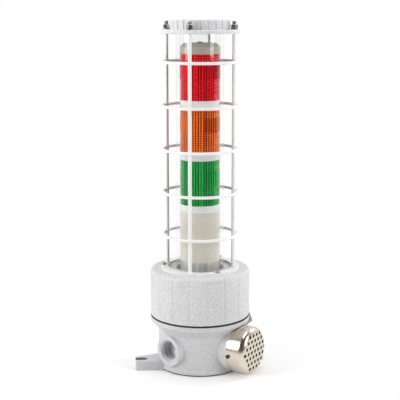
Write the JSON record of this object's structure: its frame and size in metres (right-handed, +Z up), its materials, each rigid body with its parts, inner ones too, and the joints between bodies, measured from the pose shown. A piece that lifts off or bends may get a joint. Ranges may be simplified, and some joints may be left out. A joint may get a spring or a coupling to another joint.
{
  "type": "explosion-proof warning light",
  "caption": "Cast round junction box with conduit entry and sounder; its screw-on cover carries a caged glass tube over a red, amber and green signal tower.",
  "frame": {"origin": "centre of the housing's flat underside", "axes": "+Z up along the tower's axis, +X along the slots of the two fixing lugs with the sounder on its side, -Y the front"},
  "size_m": [0.1672, 0.1314, 0.44],
  "materials": {
    "housing_casting": "satin",
    "cover_casting": "satin",
    "cap_casting": "satin",
    "guard_paint": "gloss",
    "steel_fasteners": "satin",
    "brass_fasteners": "satin",
    "lamp_plate_steel": "satin",
    "sounder_cap_steel": "polished",
    "sounder_plastic": "matte",
    "sintered_bronze": "matte",
    "retaining_steel": "satin",
    "terminal_plastic": "matte",
    "lamp_base_plastic": "satin",
    "lamp_body_plastic": "satin",
    "lamp_cap_plastic": "satin",
    "module_ring_plastic": "satin",
    "red_lens": "gloss",
    "amber_lens": "gloss",
    "green_lens": "gloss",
    "circuit_board": "matte",
    "led": "gloss",
    "gasket_rubber": "matte",
    "tube_glass": "gloss"
  },
  "bodies": {
    "base": {"base_housing": "housing_casting", "cover_lock_screw": "steel_fasteners", "sounder_body": "sounder_plastic", "flame_arrestor": "sintered_bronze", "sounder_retaining_ring": "retaining_steel", "sounder_cap": "sounder_cap_steel", "sounder_cap_screws": "steel_fasteners", "terminal_block": "terminal_plastic", "terminal_screws": "brass_fasteners", "terminal_block_screws": "steel_fasteners", "earth_screw_inner": "brass_fasteners", "earth_screw_outer": "steel_fasteners", "lamp_plate": "lamp_plate_steel", "lamp_plate_screws": "steel_fasteners", "lamp_base": "lamp_base_plastic", "lamp_base_screws": "steel_fasteners", "lamp_lower_body": "lamp_body_plastic", "lamp_upper_body": "lamp_body_plastic", "driver_board": "circuit_board", "lamp_cap": "lamp_cap_plastic", "tie_rod": "steel_fasteners", "tie_rod_nut": "steel_fasteners", "cap_nut": "steel_fasteners", "module_ring_green": "module_ring_plastic", "led_board_green": "circuit_board", "leds_green": "led", "lens_green": "green_lens", "module_ring_amber": "module_ring_plastic", "led_board_amber": "circuit_board", "leds_amber": "led", "lens_amber": "amber_lens", "module_ring_red": "module_ring_plastic", "led_board_red": "circuit_board", "leds_red": "led", "lens_red": "red_lens"},
    "seal": {"cover_gasket": "gasket_rubber"},
    "cover": {"cover": "cover_casting", "glass_tube": "tube_glass", "lower_glass_seal": "gasket_rubber", "upper_glass_seal": "gasket_rubber", "top_cap": "cap_casting", "guard_foot_ring": "guard_paint", "guard_screws": "steel_fasteners", "guard_rod_1": "guard_paint", "guard_rod_2": "guard_paint", "guard_rod_3": "guard_paint", "guard_rod_4": "guard_paint", "guard_ring_1": "guard_paint", "guard_ring_2": "guard_paint", "guard_ring_3": "guard_paint", "guard_ring_4": "guard_paint", "guard_ring_5": "guard_paint", "rod_washers": "steel_fasteners", "rod_spring_washers": "steel_fasteners", "rod_nuts": "steel_fasteners"}
  },
  "joints": [
    {"name": "cover_lift", "type": "slide", "parent": "base", "child": "seal", "axis": [0, 0, 1], "range_m": [0, 0.01406]},
    {"name": "cover_turn", "type": "hinge", "parent": "seal", "child": "cover", "pos_m": [0, 0, 0.067], "axis": [0, 0, 1], "range_deg": [0, 2520]}
  ],
  "couplings": [
    {"joint": "cover_lift", "follows": "cover_turn", "m_per_rad": 0.00031831}
  ]
}
